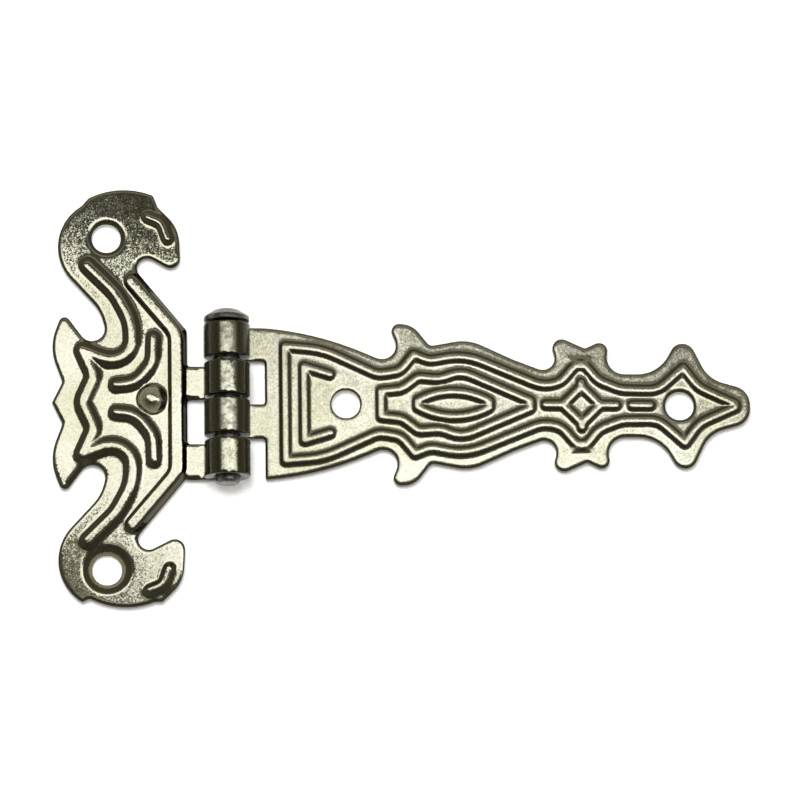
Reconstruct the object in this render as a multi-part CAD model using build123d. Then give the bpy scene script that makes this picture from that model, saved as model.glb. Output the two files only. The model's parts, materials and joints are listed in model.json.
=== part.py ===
"""Decorative strap hinge: two pressed leaves and a headed pin.

Millimetres. The leaves lie on z = 0 with their ornament facing +Z. The pin runs along Y above
x = 0, the strap leaf reaches towards +X and the frame leaf towards -X.
"""
import os
from math import atan2, degrees, radians, tan

from build123d import *

# Sheet and hinge
SHEET = 1.6
PIN_RADIUS = 2.0
PIN_CLEARANCE = 0.05
BORE_RADIUS = PIN_RADIUS + PIN_CLEARANCE
BARREL_RADIUS = BORE_RADIUS + SHEET
CURL_ANGLE = 298.0
LEAF_CLEARANCE = 2.45
LEAF_SETBACK = BARREL_RADIUS + LEAF_CLEARANCE

# Barrel along the pin: its ends, and the middle and width of the gaps between its four knuckles
BARREL_TOP = 12.2
BARREL_FOOT = -12.3
KNUCKLE_GAPS = [(6.35, 0.85), (0.2, 0.55), (-6.1, 0.85)]

# Pin
HEAD_RADIUS = 3.6
HEAD_RIM = 0.8
CROWN_RADIUS = 2.0
HEAD_HEIGHT = 1.9
HEAD_CLEARANCE = 0.3
PIN_TAIL = 1.1
PIN_CHAMFER = 0.3

# Screw holes: centre, and how far the countersink flares beyond the hole's edge
HOLE_DIAMETER = 4.5
COUNTERSINK_ANGLE = 116.0
FRAME_HOLE_X = -18.7
FRAME_HOLE_Y = 26.6
STRAP_HOLES = [((18.8, 0), 0.2), ((71.6, 0), 0.5)]
FRAME_HOLES = [((FRAME_HOLE_X, FRAME_HOLE_Y), 0.75), ((FRAME_HOLE_X, -FRAME_HOLE_Y), 1.7)]

# Pressed beads: foot width and crest width, all of one height over the sheet. The back stays flat.
BEAD_HEIGHT = 0.6
STRAP_BEAD = (2.35, 0.45)
NECK_BEAD = (3.2, 0.9)
COMMA_BEAD = (2.8, 0.6)
HEAD_BEAD = (2.3, 0.6)
RIM_BEAD = (2.7, 1.7)

# Dome on the frame leaf, a little above the middle line as the commas beside it are
DOME_CENTRE = (-11.6, 0.6)
DOME_RADIUS = 2.4
DOME_HEIGHT = 1.2

# Outlines and bead paths are corners (x, y, bend radius). A bend of 0 is a sharp corner.
# The strap's outline above its middle line, from the shoulder to the tip
STRAP_EDGE = [
    (LEAF_SETBACK, BARREL_TOP, 0), (14.4, 11.5, 50), (28.8, 5.3, 2.26), (25.5, 13.2, 1.2),
    (29.5, 12.9, 3.6), (32.15, 9.45, 1.0), (38.3, 10.6, 7), (45.2, 7.4, 25), (53.1, 4.4, 1.95),
    (50.6, 12.0, 1.5), (56.75, 9.2, 0), (60.9, 11.2, 1.3), (59.5, 5.1, 2.7), (68.25, 5.1, 5.7),
    (72.4, 12.4, 2.0), (76.3, 4.4, 5.1), (82.8, 2.6, 2.9),
]

# The frame leaf's outline above its middle line: neck, beak, crown, scroll with wing, wing's point.
# The two heads differ: a crown is set at a distance beyond its screw hole, and a beak at a place in x.
FRAME_NECK = [(-LEAF_SETBACK, 11.7, 0), (-14.4, 21.8, 1.6), (-12.6, 23.8, 1.6)]
HEAD_BEAK = [(3.65, 20.6, 1.6), (3.3, 28.4, 6), (0, 31.7, 0)]
HEAD_CROWN = [(-11.3, -0.8, 0), (-16.4, 1.05, 12), (-21.5, -1.3, 0)]
UPPER_CROWN = 7.8
LOWER_CROWN = 5.9
UPPER_BEAK = -10.6
LOWER_BEAK = -10.1
FRAME_SCROLL = [
    (-22.6, 31.8, 0), (-30.6, 26.8, 7.8), (-19.7, 14.85, 7), (-18.65, 10.9, 1.95), (-21.65, 9.45, 1.95),
    (-25.55, 14.75, 0.9), (-27.75, 9.0, 8), (-25.65, 3.35, 0),
]
WING_POINT = (-27.3, 0, 0)

# Bead paths on the strap
STRAP_RING = [
    (9.25, 9.2, 0), (15.2, 8.7, 14), (23.9, 4.7, 3.2), (27.4, 5.3, 2.5), (29.55, 8.0, 0), (32.0, 7.0, 3),
    (37.6, 8.05, 10), (50.2, 2.85, 5), (52.9, 3.8, 3), (55.9, 7.35, 1.3), (58.7, 3.9, 4),
    (62.3, 2.5, 5), (68.1, 2.4, 4), (72.25, 6.1, 0), (74.6, 2.9, 5), (80.4, 0.3, 0),
]
OGEE_RING = [
    (24.35, 2.05, 0), (27.6, 2.35, 3), (30.2, 4.35, 1.4), (33.6, 4.05, 4), (37.0, 5.3, 4.5),
    (47.9, 0.6, 0),
]
BRACKET = [(16.3, 4.7, 0), (12.25, 5.95, 0)]
BAR = [(64.0, 0, 0), (66.9, 0, 0)]
LENS = [(30.1, 0.5), (35.8, 2.0), (41.4, 0.5)]
STAR_LEFT = (53.05, 0, 0)
STAR_TOP = (56.0, 2.95, 0)
STAR_RIGHT = (58.95, 0, 0)
STAR_ARMS = [[(50.3, 0, 0), STAR_LEFT], [STAR_RIGHT, (61.5, 0, 0)]]
STAR_SPUR = [STAR_TOP, (56.0, 3.6, 0)]

# Sloping pad between the ring's peak over the star and the notch in the strap's edge: foot and crest
PAD_FOOT = [(53.7, 8.0), (57.9, 7.8), (57.6, 5.8), (54.0, 5.8)]
PAD_CREST = [(55.6, 6.7), (56.2, 6.7), (56.2, 5.8), (55.6, 5.8)]

# Bead paths on the frame leaf
SWAN_NECK = [
    (-21.6, 22.1, 0), (-17.2, 17.7, 8), (-14.75, 13.2, 8), (-14.5, 6.95, 3.3), (-18.8, 6.9, 5),
    (-22.4, 8.3, 0), (-20.6, 4.2, 2.2),
]
WAVE_MIDDLE = (-22.5, 0, 2.0)
BORDER_RIM = [(-14.6, 19.5, 0), (-7.65, 11.2, 3.5)]
COMMA = [(-17.2, 2.8, 0), (-14.0, 3.1, 4), (-11.4, 6.5, 4), (-11.3, 10.4, 0)]
HEAD_COMMA = [(-12.1, 30.0, 0), (-9.9, 29.1, 1.8), (-9.0, 26.5, 0)]


def below(points, middle=0.0):
    """The points mirrored in the line y = middle, in reverse order."""
    return [(p[0], 2 * middle - p[1], *p[2:]) for p in reversed(points)]


def smooth_path(corners, close=False):
    """Edges of a line through the corners, each rounded to its bend radius."""
    radii = [c[2] for c in corners]
    if not close:
        radii = radii[1:-1]
    points = [c[:2] for c in corners]
    if len(points) == 2:
        return [Line(*points).edge()]
    return list(FilletPolyline(*points, radius=radii, close=close).edges())


def arc_path(*triples):
    """One edge for each (start, middle, end) triple."""
    return [ThreePointArc(*triple).edge() for triple in triples]


def section(edge, at, widths, side=None):
    """Upright bead section across an edge, whole or only on its left (1) or right (-1)."""
    ahead = edge % at
    left = Vector(-ahead.Y, ahead.X)
    base = edge @ at
    foot, crest = (left * (width / 2) for width in widths)
    reach_left = 0 if side == -1 else 1
    reach_right = 0 if side == 1 else -1
    low = Vector(0, 0, SHEET)
    high = Vector(0, 0, SHEET + BEAD_HEIGHT)
    corners = [
        foot * reach_right + low, foot * reach_left + low,
        crest * reach_left + high, crest * reach_right + high,
    ]
    return Face(Wire.make_polygon([base + corner for corner in corners], close=True))


def turn(before, after):
    """Signed angle in degrees from the end of one edge to the start of the next."""
    a = before % 1
    b = after % 0
    return degrees(atan2(a.X * b.Y - a.Y * b.X, a.X * b.X + a.Y * b.Y))


def rounded(edge, at, side, angle, widths):
    """Round corner or end of a bead: its left (1) or right (-1) half turned about an end of an edge."""
    half = section(edge, at, widths, side)
    return Solid.revolve(half, angle, Axis(edge @ at, (0, 0, 1)))


def bead(path, widths, close):
    """Solids of a bead on the front of the sheet along joined edges, with round corners and ends."""
    solids = []
    for edge in path:
        start = section(edge, 0, widths)
        if edge.geom_type == GeomType.LINE:
            solids.append(Solid.extrude(start, (edge % 0) * edge.length))
        else:
            spoke = edge @ 0 - edge.arc_center
            ahead = edge % 0
            sense = 1 if spoke.X * ahead.Y > spoke.Y * ahead.X else -1
            angle = sense * degrees(edge.length / edge.radius)
            solids.append(Solid.revolve(start, angle, Axis(edge.arc_center, (0, 0, 1))))
    joints = list(zip(path, path[1:]))
    if close:
        joints.append((path[-1], path[0]))
    for before, after in joints:
        angle = turn(before, after)
        if abs(angle) > 1:
            outer = -1 if angle > 0 else 1
            solids.append(rounded(before, 1, outer, angle, widths))
    if not close:
        solids.append(rounded(path[0], 0, 1, 180, widths))
        solids.append(rounded(path[-1], 1, -1, 180, widths))
    return solids


def pad(foot, crest):
    """Raised pad whose sides slope from its foot on the sheet to its crest."""
    low = Wire.make_polygon([(x, y, SHEET) for x, y in foot], close=True)
    high = Wire.make_polygon([(x, y, SHEET + BEAD_HEIGHT) for x, y in crest], close=True)
    return Solid.make_loft([low, high], ruled=True)


def blank(corners):
    """Flat sheet inside a line through the corners, each rounded to its bend radius."""
    return extrude(make_face(smooth_path(corners, close=True)), amount=SHEET)


def knuckle(span, side):
    """Sheet rolled round the pin over a span of Y, coming from the leaf on side +1 or -1."""
    ring = Circle(BARREL_RADIUS) - Circle(BORE_RADIUS)
    reach = 2 * BARREL_RADIUS
    open_angle = 360 - CURL_ANGLE
    mouth = [Vector(0, -reach).rotate(Axis.Z, angle) for angle in (0, open_angle / 2, open_angle)]
    tongue = Pos(LEAF_SETBACK / 2, SHEET / 2 - BARREL_RADIUS) * Rectangle(LEAF_SETBACK, SHEET)
    profile = ring - make_face(Polyline((0, 0), *mouth, close=True)) + tongue
    if side < 0:
        profile = mirror(profile, about=Plane.YZ)
    end = Plane(origin=(0, span[1], BARREL_RADIUS), x_dir=(1, 0, 0), z_dir=(0, -1, 0))
    return extrude(end * profile, amount=span[1] - span[0])


def knuckle_spans():
    """Spans of Y of the knuckles from the top down, which belong to the two leaves in turn."""
    spans = []
    top = BARREL_TOP
    for middle, gap in KNUCKLE_GAPS:
        spans.append((middle + gap / 2, top))
        top = middle - gap / 2
    spans.append((BARREL_FOOT, top))
    return spans


def screw_hole(centre, flare):
    """Through hole with a countersink on the front."""
    radius = HOLE_DIAMETER / 2
    depth = flare / tan(radians(COUNTERSINK_ANGLE / 2))
    hole = Pos(*centre, SHEET / 2) * Cylinder(radius, 2 * SHEET)
    return hole + Pos(*centre, SHEET - depth / 2) * Cone(radius, radius + flare, depth)


def leaf(corners, beads, pads, knuckles, side, holes):
    """Pressed leaf: flat sheet, raised beads and pads, rolled knuckles and screw holes."""
    front = [pad(foot, crest) for foot, crest in pads]
    for path, widths, close in beads:
        front += bead(path, widths, close)
    sheet = blank(corners)
    for span in knuckles:
        sheet += knuckle(span, side)
    sheet = sheet.fuse(*front)
    for centre, flare in holes:
        sheet -= screw_hole(centre, flare)
    return sheet


def strap_leaf():
    lens = arc_path(LENS, below(LENS))
    lens_ends = [Line(lens[0] @ 1, lens[1] @ 0).edge(), Line(lens[1] @ 1, lens[0] @ 0).edge()]
    star = smooth_path([STAR_LEFT, STAR_TOP, STAR_RIGHT, *below([STAR_TOP])], close=True)
    beads = [
        (smooth_path(STRAP_RING + below(STRAP_RING), close=True), STRAP_BEAD, True),
        (smooth_path(OGEE_RING + below(OGEE_RING), close=True), STRAP_BEAD, True),
        (smooth_path(BRACKET + below(BRACKET)), STRAP_BEAD, False),
        (smooth_path(BAR), STRAP_BEAD, False),
        ([lens[0], lens_ends[0], lens[1], lens_ends[1]], STRAP_BEAD, True),
        (star, STRAP_BEAD, True),
    ]
    for spoke in [*STAR_ARMS, STAR_SPUR, below(STAR_SPUR)]:
        beads.append((smooth_path(spoke), STRAP_BEAD, False))
    pads = [(PAD_FOOT, PAD_CREST), (below(PAD_FOOT), below(PAD_CREST))]
    corners = STRAP_EDGE + below(STRAP_EDGE)
    return leaf(corners, beads, pads, knuckle_spans()[0::2], 1, STRAP_HOLES)


def frame_edge(crown, beak_x):
    """Corners of half the frame leaf's outline, for a head cut at crown beyond its hole, beak at beak_x."""
    beak = [(beak_x + x, y, bend) for x, y, bend in HEAD_BEAK]
    head = [(x, FRAME_HOLE_Y + crown + y, bend) for x, y, bend in HEAD_CROWN]
    return FRAME_NECK + beak + head + FRAME_SCROLL


def frame_leaf():
    upper = frame_edge(UPPER_CROWN, UPPER_BEAK)
    lower = frame_edge(LOWER_CROWN, LOWER_BEAK)
    corners = upper + [WING_POINT] + below(lower)
    beads = [
        (smooth_path(SWAN_NECK + [WAVE_MIDDLE] + below(SWAN_NECK)), NECK_BEAD, False),
        (smooth_path(BORDER_RIM + below(BORDER_RIM)), RIM_BEAD, False),
        (smooth_path(COMMA), COMMA_BEAD, False),
        (smooth_path(below(COMMA, DOME_CENTRE[1])), COMMA_BEAD, False),
        (smooth_path(HEAD_COMMA), HEAD_BEAD, False),
        (smooth_path(below(HEAD_COMMA)), HEAD_BEAD, False),
    ]
    plate = leaf(corners, beads, [], knuckle_spans()[1::2], -1, FRAME_HOLES)
    ball_radius = (DOME_RADIUS**2 + DOME_HEIGHT**2) / (2 * DOME_HEIGHT)
    ball = Pos(*DOME_CENTRE, SHEET + DOME_HEIGHT - ball_radius) * Sphere(ball_radius)
    return plate + split(ball, Plane.XY.offset(SHEET / 2), keep=Keep.TOP)


def hinge_pin():
    """Turned pin with a low crowned head over the barrel's top and a short tail below its foot."""
    foot = BARREL_FOOT - PIN_TAIL
    seat = BARREL_TOP + HEAD_CLEARANCE
    top = seat + HEAD_HEIGHT
    profile = Polyline(
        (0, foot), (PIN_RADIUS - PIN_CHAMFER, foot), (PIN_RADIUS, foot + PIN_CHAMFER), (PIN_RADIUS, seat),
        (HEAD_RADIUS, seat), (HEAD_RADIUS, seat + HEAD_RIM), (CROWN_RADIUS, top), (0, top),
        close=True,
    )
    return Pos(0, 0, BARREL_RADIUS) * revolve(make_face(profile), Axis.Y)


NODES = {
    "frame_leaf": frame_leaf(),
    "strap_leaf": strap_leaf(),
    "hinge_pin": hinge_pin(),
}

os.makedirs("parts", exist_ok=True)
for name, shape in NODES.items():
    export_step(shape, f"parts/{name}.step")
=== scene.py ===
"""Dressed model of the decorative strap hinge: rounded press work, plated finish, studio and camera."""
import json
import math

import bpy
import numpy as np
from mathutils import Matrix, Quaternion, Vector
from mathutils.bvhtree import BVHTree
from mathutils.kdtree import KDTree


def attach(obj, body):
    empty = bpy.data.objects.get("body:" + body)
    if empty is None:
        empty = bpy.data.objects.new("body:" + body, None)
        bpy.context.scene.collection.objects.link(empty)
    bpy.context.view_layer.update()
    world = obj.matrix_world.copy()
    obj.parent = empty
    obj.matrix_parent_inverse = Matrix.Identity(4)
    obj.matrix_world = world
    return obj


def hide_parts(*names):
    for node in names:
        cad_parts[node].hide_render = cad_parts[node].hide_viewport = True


MM = 0.001

# Rounding of the pieces: mesh size in millimetres, smoothing passes and the strength of a pass
LEAF_VOXEL = 0.208
PIN_VOXEL = 0.12
LEAF_PASSES = 2
PIN_PASSES = 8
EASING_PASSES = 2
PASS_STRENGTH = 0.5

# The sheet and its beads as the solids have them, and the part of a bead that shows on the back
SHEET = 1.6
BARREL_REACH = 4.4
BEAD_HEIGHT = 0.6
PRESSED_THROUGH = 0.6

# Telling the regions of a leaf apart: heights from the front face in sheet thicknesses, the largest
# upright part of a cut edge's normal, and a height above everything in millimetres
EDGE_MIDDLE = -0.5
EDGE_BAND = 0.2
EDGE_UPRIGHT = 0.3
FRONT_REGION = -0.5
BACK_REGION = -0.8
WELL_ABOVE = 10 * SHEET

# Pressed form of each leaf: height of the beads, how far a crest leans towards -X for each
# millimetre of height, the part of a flank's rise that follows a soft curve, and how much wider
# than elsewhere the front edge is rolled where it faces down and to the right
FRAME_PRESS = (0.66, 0.28, 0.2, 0.8)
STRAP_PRESS = (0.42, 0.0, 0.6, 0.1)

# Rolled front edge that punching leaves, away from the screw holes
ROLL_REACH = 0.5
ROLL_SLOPE = 0.45
ROLL_CURVE = 1.5
BROAD_SIDE = Vector((0.8, -0.6))
BROAD_FADES = (20.0, 24.0)
HOLE_REACH = 4.5

# Places where the painted shade on steep slopes is thinner, so they stay lighter: the round button on the
# frame leaf, and the countersinks below a dark rim
DOME = (-11.6, 0.6)
DOME_REACH = 2.3
SINK_RIM = 0.66

# Camera, as the photograph was taken: millimetres, degrees and pixels
PHOTO_SIZE = 800
MM_PER_PIXEL = 0.1567
CAMERA_DISTANCE = 952.0
SEEN_FROM_BELOW = 13.0
SEEN_FROM_RIGHT = -5.0
ROLL = 0.3
FRONT_FACE = 1.5
ORIGIN_PIXEL = (226.3, 403.3)
SENSOR = 36.0

# Paper under the hinge: size and drop below the hinge in metres, colours, glow and fibres in millimetres
FLOOR_SIZE = 6.0
FLOOR_DROP = 0.00003
FLOOR_COLOUR = (0.93, 0.93, 0.93)
FLOOR_SHADE = (0.91, 0.91, 0.92)
FLOOR_GLOW = 0.3
FLOOR_ROUGHNESS = 0.9
FLOOR_GLOSS = 0.1
FIBRE = 1.5

# Colours of the finishes
NICKEL = (0.83, 0.82, 0.68)
NICKEL_SHADE = (0.71, 0.70, 0.52)
# Dark colour of the plate's own specks and pits, also used as painted shade on steep flanks, cut walls,
# rolled edges and the barrel's sides
PATINA_AND_PAINTED_SHADE = (0.05, 0.045, 0.031)
STEEL = (0.18, 0.175, 0.165)
STEEL_SHADE = (0.10, 0.096, 0.085)

# Plate: roughness of each leaf, wavelengths and depths in millimetres, and the tip of a grain's flat
FRAME_ROUGHNESS = (0.09, 0.15)
STRAP_ROUGHNESS = (0.21, 0.29)
CLOUD = 9.0
SPECKLE = 0.35
SPECKLE_COVER = 0.25
RUBBING = 1.4
PEEL = 1.6
PEEL_DEPTH = 0.007
GRAIN = 0.2
GRAIN_TIP = 0.034

# Painted shade on steep slopes (flanks, cut walls, rolled edges): upright part of the normal where it
# begins and where it is full, how much of the dark colour it takes there, and the part of it that stays on
# places with thinner painted shade
PAINTED_SHADE_SLOPES = (0.985, 0.9)
PAINTED_SHADE_COVER = 0.95
THIN_SHADE_PART = 0.5

# Barrel: heights in millimetres between which its own finish sets in, its pits, and the painted shade on
# its sides
BARREL_HEIGHTS = (2.8, 3.4)
PIT = 1.1
PIT_COVER = 0.6
SHADED_SIDE_SLOPES = (0.995, 0.9)
SHADED_SIDE_COVER = 0.65

# Pin: wavelengths and depth in millimetres, and roughness
STEEL_CLOUD = 0.8
STEEL_RUBBING = 0.5
SCRATCH = 0.25
SCRATCH_DEPTH = 0.006
PIN_ROUGHNESS = (0.22, 0.4)

# Brightness of the room by the sine of the elevation, and the tint of its walls
ROOM = [(0.0, 0.6), (0.25, 0.55), (0.55, 0.4), (0.8, 0.18), (0.9, 0.05), (0.98, 0.05), (1.0, 0.4)]
ROOM_TINT = (1.0, 0.94, 0.76)

# Soft boxes: name, place, aim and size in millimetres, brightness, turn in degrees, and whether the
# metal mirrors it
LAMPS = [
    ("strip_box", (26, 17.5, 115), (26, 17.5, 0), (198, 46), 1.2, -13, True),
    ("foot_strip_box", (9, -9.7, 115), (9, -9.7, 0), (42, 15), 0.95, -13, True),
    ("low_strip_box", (78, 6, 114), (78, 6, 0), (112, 26), 0.55, -5, True),
    ("key_box", (-130, 170, 900), (25, 0, 0), (380, 380), 17.0, 0, False),
]

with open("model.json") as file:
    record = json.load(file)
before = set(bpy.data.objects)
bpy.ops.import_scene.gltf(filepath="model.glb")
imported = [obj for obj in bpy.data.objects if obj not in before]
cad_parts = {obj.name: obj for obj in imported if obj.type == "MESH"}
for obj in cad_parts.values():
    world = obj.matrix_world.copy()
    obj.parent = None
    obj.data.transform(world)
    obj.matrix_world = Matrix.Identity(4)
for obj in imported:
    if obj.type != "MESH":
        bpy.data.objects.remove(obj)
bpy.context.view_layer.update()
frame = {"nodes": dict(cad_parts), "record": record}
scene = bpy.context.scene
scene.view_settings.view_transform = "Standard"


def apply_modifiers(piece):
    evaluated = piece.evaluated_get(bpy.context.evaluated_depsgraph_get())
    piece.data = bpy.data.meshes.new_from_object(evaluated)
    piece.modifiers.clear()


def smooth(piece, passes):
    modifier = piece.modifiers.new("Smooth", "SMOOTH")
    modifier.factor = PASS_STRENGTH
    modifier.iterations = passes
    apply_modifiers(piece)


def rounded_copy(node, voxel, passes):
    """A copy of a solid in millimetres, its edges rounded as the press and the plating leave them."""
    piece = bpy.data.objects.new(node + "_finished", frame["nodes"][node].data.copy())
    scene.collection.objects.link(piece)
    piece.data.transform(Matrix.Scale(1 / MM, 4))
    remesh = piece.modifiers.new("Remesh", "REMESH")
    remesh.mode = "VOXEL"
    remesh.voxel_size = voxel
    apply_modifiers(piece)
    smooth(piece, passes)
    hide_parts(node)
    return piece


def screw_holes():
    """Middles of the screw holes in millimetres, from the record's bolt patterns."""
    middles = []
    for mount in frame["record"]["mounts"]:
        if mount["kind"] == "bolt_pattern":
            middle = Vector(mount["pos_m"]) / MM
            spacing = [mount["dims"].get(name, 0) for name in ("spacing_x_mm", "spacing_y_mm")]
            step = Vector((*spacing, 0)) / 2
            middles += [middle - step, middle + step]
    return np.array([middle[:2] for middle in middles])


def nearest_in_plan(points, chosen):
    """Finder of the nearest of the chosen points, seen from the front."""
    tree = KDTree(int(chosen.sum()))
    for index in np.flatnonzero(chosen):
        tree.insert((*points[index, :2], 0), index)
    tree.balance()
    return tree


def press(piece, crest, lean, ease, broadening):
    """Give a leaf in millimetres its beads, hollows behind them, a rolled front edge, and a mark on the
    places where the painted shade is thinner.
    """
    mesh = piece.data
    count = len(mesh.vertices)
    points = np.empty((count, 3), dtype=np.float32)
    normals = np.empty((count, 3), dtype=np.float32)
    mesh.vertices.foreach_get("co", points.ravel())
    mesh.vertices.foreach_get("normal", normals.ravel())
    beyond_barrel = np.abs(points[:, 0]) > BARREL_REACH
    over_sheet = points[:, 2] - SHEET
    to_hole = np.linalg.norm(points[:, None, :2] - screw_holes(), axis=2).min(axis=1)
    half_way = np.abs(over_sheet - EDGE_MIDDLE * SHEET) < EDGE_BAND * SHEET
    cut = half_way & (np.abs(normals[:, 2]) < EDGE_UPRIGHT)
    edge = nearest_in_plan(points, beyond_barrel & cut & (to_hole > HOLE_REACH))

    rise = np.clip(over_sheet / BEAD_HEIGHT, 0, 1)
    rise = (1 - ease) * rise + ease * rise * rise * (3 - 2 * rise)
    pressed = crest * rise + np.maximum(over_sheet - BEAD_HEIGHT, 0)
    beads = beyond_barrel & (over_sheet > 0)
    points[beads, 2] = SHEET + pressed[beads]
    points[beads, 0] -= lean * np.minimum(pressed[beads], crest)

    front = BVHTree.FromPolygons(points, [polygon.vertices for polygon in mesh.polygons])
    for index in np.flatnonzero(beyond_barrel & (over_sheet > FRONT_REGION * SHEET)):
        _, wall, to_edge = edge.find((*points[index, :2], 0))
        facing = max(0.0, BROAD_SIDE.dot(Vector(normals[wall, :2])))
        fade = np.interp(abs(points[index, 1]), BROAD_FADES, (1, 0))
        reach = ROLL_REACH + broadening * fade * facing ** 2
        if to_edge < reach:
            drop = ROLL_SLOPE * reach * (1 - to_edge / reach) ** ROLL_CURVE
            height = points[index, 2]
            points[index, 2] = min(height, max(height, SHEET) - drop)
    for index in np.flatnonzero(beyond_barrel & (over_sheet < BACK_REGION * SHEET)):
        hit = front.ray_cast((*points[index, :2], WELL_ABOVE), (0, 0, -1))[0]
        if hit:
            points[index, 2] += PRESSED_THROUGH * max(0.0, hit.z - SHEET)

    # Places where the material's painted shade is thinner: the countersinks below their rim, and the
    # button
    in_hole = (to_hole < HOLE_REACH) & (over_sheet < -SINK_RIM)
    on_dome = np.linalg.norm(points[:, :2] - DOME, axis=1) < DOME_REACH
    thin_shade_places = (in_hole | on_dome).astype(np.float32)
    mesh.attributes.new("thin_shade_places", "FLOAT", "POINT").data.foreach_set("value", thin_shade_places)
    mesh.vertices.foreach_set("co", points.ravel())
    mesh.update()
    smooth(piece, EASING_PASSES)


class Nodes:
    """Short calls for building a material's node tree."""

    def __init__(self, name):
        self.material = bpy.data.materials.new(name)
        self.material.use_nodes = True
        self.tree = self.material.node_tree
        self.shader = self.tree.nodes["Principled BSDF"]
        self.coords = self.tree.nodes.new("ShaderNodeTexCoord")

    def link(self, source, target):
        self.tree.links.new(source, target)

    def noise(self, wavelength, detail=2.0):
        """Noise over the object, its wavelength in millimetres."""
        node = self.tree.nodes.new("ShaderNodeTexNoise")
        node.inputs["Scale"].default_value = 1 / (wavelength * MM)
        node.inputs["Detail"].default_value = detail
        self.link(self.coords.outputs["Object"], node.inputs["Vector"])
        return node.outputs["Fac"]

    def ramp(self, value, low, high, to_low=0.0, to_high=1.0):
        """Map a value from one range to another, held at both ends."""
        node = self.tree.nodes.new("ShaderNodeMapRange")
        node.inputs["From Min"].default_value = low
        node.inputs["From Max"].default_value = high
        node.inputs["To Min"].default_value = to_low
        node.inputs["To Max"].default_value = to_high
        self.link(value, node.inputs["Value"])
        return node.outputs["Result"]

    def math(self, operation, first, second):
        node = self.tree.nodes.new("ShaderNodeMath")
        node.operation = operation
        for socket, value in zip(node.inputs, (first, second)):
            if isinstance(value, float):
                socket.default_value = value
            else:
                self.link(value, socket)
        return node.outputs["Value"]

    def mix(self, factor, first, second):
        """Blend two colours, each a tuple or an output."""
        node = self.tree.nodes.new("ShaderNodeMix")
        node.data_type = "RGBA"
        self.link(factor, node.inputs["Factor"])
        for socket, colour in zip((node.inputs["A"], node.inputs["B"]), (first, second)):
            if isinstance(colour, tuple):
                socket.default_value = (*colour, 1)
            else:
                self.link(colour, socket)
        return node.outputs["Result"]

    def facets(self, size, tip, under):
        """Tiny flats, their size in millimetres, each tipped at random off the normal under them."""
        cells = self.tree.nodes.new("ShaderNodeTexVoronoi")
        cells.inputs["Scale"].default_value = 1 / (size * MM)
        self.link(self.coords.outputs["Object"], cells.inputs["Vector"])
        tipped = self.tree.nodes.new("ShaderNodeVectorMath")
        tipped.operation = "MULTIPLY_ADD"
        tipped.inputs[1].default_value = (2 * tip,) * 3
        tipped.inputs[2].default_value = (-tip,) * 3
        self.link(cells.outputs["Color"], tipped.inputs[0])
        total = self.tree.nodes.new("ShaderNodeVectorMath")
        self.link(tipped.outputs["Vector"], total.inputs[0])
        self.link(under, total.inputs[1])
        unit = self.tree.nodes.new("ShaderNodeVectorMath")
        unit.operation = "NORMALIZE"
        self.link(total.outputs["Vector"], unit.inputs[0])
        return unit.outputs["Vector"]

    def axis(self, output, name):
        """One coordinate of the object's own place or normal."""
        node = self.tree.nodes.new("ShaderNodeSeparateXYZ")
        self.link(self.coords.outputs[output], node.inputs["Vector"])
        return node.outputs[name]

    def attribute(self, name):
        """A value that is stored on the mesh."""
        node = self.tree.nodes.new("ShaderNodeAttribute")
        node.attribute_name = name
        return node.outputs["Fac"]

    def bump(self, height, depth):
        """Surface relief of the given depth in millimetres."""
        node = self.tree.nodes.new("ShaderNodeBump")
        node.inputs["Distance"].default_value = depth * MM
        self.link(height, node.inputs["Height"])
        return node.outputs["Normal"]


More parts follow.
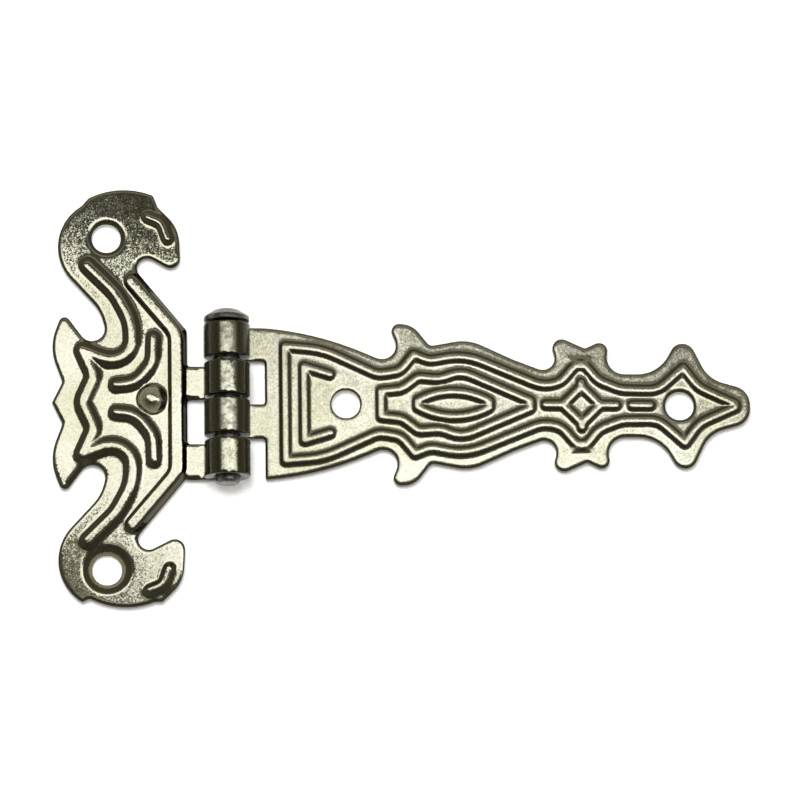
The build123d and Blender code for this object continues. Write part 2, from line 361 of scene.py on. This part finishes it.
def plated_sheet(name, roughness):
    """Warm nickel plate: orange peel, sparkling grain, painted shade on steep flanks and edges, and a
    pitted barrel with painted shade on its sides.
    """
    nodes = Nodes(name)
    cloud = nodes.ramp(nodes.noise(CLOUD, 3.0), 0.35, 0.65)
    colour = nodes.mix(cloud, NICKEL, NICKEL_SHADE)
    speckle = nodes.ramp(nodes.noise(SPECKLE, 3.0), 0.45, 0.75, 0.0, SPECKLE_COVER)
    colour = nodes.mix(speckle, colour, PATINA_AND_PAINTED_SHADE)
    # Painted shade: steep flanks, cut walls and rolled edges take the dark colour by how upright their
    # normal is, less of it on the button and the countersinks
    upright = nodes.math("ABSOLUTE", nodes.axis("Normal", "Z"), 0.0)
    painted_shade_on_flanks = nodes.ramp(upright, *PAINTED_SHADE_SLOPES, 0.0, PAINTED_SHADE_COVER)
    shade_kept = nodes.ramp(nodes.attribute("thin_shade_places"), 0.0, 1.0, 1.0, THIN_SHADE_PART)
    colour = nodes.mix(nodes.math("MULTIPLY", shade_kept, painted_shade_on_flanks), colour, PATINA_AND_PAINTED_SHADE)
    # Barrel: its pits are dark spots of its own, and the dark on its sides is painted shade
    barrel_from, barrel_to = (height * MM for height in BARREL_HEIGHTS)
    on_barrel = nodes.ramp(nodes.axis("Object", "Z"), barrel_from, barrel_to)
    pits = nodes.ramp(nodes.noise(PIT, 5.0), 0.44, 0.62, 0.0, PIT_COVER)
    painted_shade_on_sides = nodes.ramp(upright, *SHADED_SIDE_SLOPES, 0.0, SHADED_SIDE_COVER)
    pits_and_painted_shade = nodes.math("MULTIPLY", on_barrel, nodes.math("MAXIMUM", pits, painted_shade_on_sides))
    colour = nodes.mix(pits_and_painted_shade, colour, PATINA_AND_PAINTED_SHADE)
    nodes.link(colour, nodes.shader.inputs["Base Color"])
    rubbed = nodes.ramp(nodes.noise(RUBBING), 0.3, 0.7, *roughness)
    nodes.link(rubbed, nodes.shader.inputs["Roughness"])
    peel = nodes.bump(nodes.noise(PEEL, 1.0), PEEL_DEPTH)
    nodes.link(nodes.facets(GRAIN, GRAIN_TIP, peel), nodes.shader.inputs["Normal"])
    nodes.shader.inputs["Metallic"].default_value = 1.0
    return nodes.material


def pin_steel():
    """Drawn steel wire, much darker than the plate, with fine scratches."""
    nodes = Nodes("drawn_steel")
    cloud = nodes.ramp(nodes.noise(STEEL_CLOUD, 4.0), 0.35, 0.7)
    nodes.link(nodes.mix(cloud, STEEL, STEEL_SHADE), nodes.shader.inputs["Base Color"])
    rubbed = nodes.ramp(nodes.noise(STEEL_RUBBING), 0.3, 0.7, *PIN_ROUGHNESS)
    nodes.link(rubbed, nodes.shader.inputs["Roughness"])
    nodes.link(nodes.bump(nodes.noise(SCRATCH, 2.0), SCRATCH_DEPTH), nodes.shader.inputs["Normal"])
    nodes.shader.inputs["Metallic"].default_value = 1.0
    return nodes.material


def studio_floor():
    """White paper under the hinge, which keeps the hinge's shadow."""
    bpy.ops.mesh.primitive_plane_add(size=FLOOR_SIZE, location=(0, 0, -FLOOR_DROP))
    floor = bpy.context.object
    floor.name = "studio_floor"
    nodes = Nodes("white_paper")
    fibre = nodes.ramp(nodes.noise(FIBRE, 4.0), 0.3, 0.7)
    nodes.link(nodes.mix(fibre, FLOOR_COLOUR, FLOOR_SHADE), nodes.shader.inputs["Base Color"])
    nodes.shader.inputs["Roughness"].default_value = FLOOR_ROUGHNESS
    nodes.shader.inputs["Specular IOR Level"].default_value = FLOOR_GLOSS
    nodes.shader.inputs["Emission Color"].default_value = (1, 1, 1, 1)
    path = nodes.tree.nodes.new("ShaderNodeLightPath")
    seen = nodes.math("MAXIMUM", path.outputs["Is Camera Ray"], path.outputs["Is Glossy Ray"])
    seen = nodes.math("MAXIMUM", seen, path.outputs["Is Transmission Ray"])
    nodes.link(nodes.math("MULTIPLY", seen, FLOOR_GLOW), nodes.shader.inputs["Emission Strength"])
    floor.data.materials.append(nodes.material)


def lamp(name, position, target, size, radiance, turn, mirrored):
    """A soft box. A mirrored one is seen only in the metal, and any other lights only the paper."""
    width, height = (length * MM for length in size)
    light = bpy.data.lights.new(name, "AREA")
    light.shape = "RECTANGLE"
    light.size = width
    light.size_y = height
    light.energy = radiance * math.pi * width * height
    box = bpy.data.objects.new(name, light)
    scene.collection.objects.link(box)
    aim = (Vector(target) - Vector(position)).to_track_quat("-Z", "Y").to_matrix().to_4x4()
    place = Matrix.Translation(Vector(position) * MM)
    box.matrix_world = place @ aim @ Matrix.Rotation(math.radians(turn), 4, "Z")
    box.visible_camera = False
    box.visible_glossy = mirrored
    box.visible_diffuse = not mirrored


def studio_world():
    """A room with pale walls that darken upwards, and a pale patch straight overhead."""
    world = bpy.data.worlds.new("studio_room")
    world.use_nodes = True
    scene.world = world
    tree = world.node_tree
    coords = tree.nodes.new("ShaderNodeTexCoord")
    split = tree.nodes.new("ShaderNodeSeparateXYZ")
    ramp = tree.nodes.new("ShaderNodeValToRGB")
    stops = ramp.color_ramp.elements
    for _ in ROOM[2:]:
        stops.new(0.5)
    for stop, (sine, grey) in zip(stops, ROOM):
        stop.position = sine
        stop.color = (*(grey * tint for tint in ROOM_TINT), 1)
    tree.links.new(coords.outputs["Generated"], split.inputs["Vector"])
    tree.links.new(split.outputs["Z"], ramp.inputs["Fac"])
    tree.links.new(ramp.outputs["Color"], tree.nodes["Background"].inputs["Color"])


def photo_camera():
    """The camera at the photograph's viewing angle, rolled so that the strap falls a little to its tip."""
    sideways = math.tan(math.radians(SEEN_FROM_RIGHT))
    downwards = -math.tan(math.radians(SEEN_FROM_BELOW))
    back = Vector((sideways, downwards, 1)).normalized()
    right = (Vector((1, 0, 0)) - back * back.x).normalized()
    right.rotate(Quaternion(back, math.radians(ROLL)))
    up = back.cross(right)
    middle = PHOTO_SIZE / 2
    across = (middle - ORIGIN_PIXEL[0]) * MM_PER_PIXEL
    above = (ORIGIN_PIXEL[1] - middle) * MM_PER_PIXEL
    aim = Vector((0, 0, FRONT_FACE)) + right * across + up * above
    data = bpy.data.cameras.new("photo_camera")
    data.sensor_width = SENSOR
    data.lens = SENSOR * CAMERA_DISTANCE / (PHOTO_SIZE * MM_PER_PIXEL)
    camera = bpy.data.objects.new("photo_camera", data)
    scene.collection.objects.link(camera)
    turn = Matrix((right, up, back)).transposed().to_4x4()
    camera.matrix_world = Matrix.Translation((aim + back * CAMERA_DISTANCE) * MM) @ turn
    scene.camera = camera


frame_plate = rounded_copy("frame_leaf", LEAF_VOXEL, LEAF_PASSES)
strap_plate = rounded_copy("strap_leaf", LEAF_VOXEL, LEAF_PASSES)
pin = rounded_copy("hinge_pin", PIN_VOXEL, PIN_PASSES)
press(frame_plate, *FRAME_PRESS)
press(strap_plate, *STRAP_PRESS)
for piece, body, finish, slot in [
    (frame_plate, "frame", plated_sheet("frame_nickel_plate", FRAME_ROUGHNESS), "plated_sheet"),
    (strap_plate, "strap", plated_sheet("strap_nickel_plate", STRAP_ROUGHNESS), "plated_sheet"),
    (pin, "frame", pin_steel(), "pin_steel"),
]:
    piece.data.transform(Matrix.Scale(MM, 4))
    piece.data.shade_smooth()
    piece.data.materials.clear()
    piece.data.materials.append(finish)
    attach(piece, body)

studio_floor()
studio_world()
for box in LAMPS:
    lamp(*box)
photo_camera()
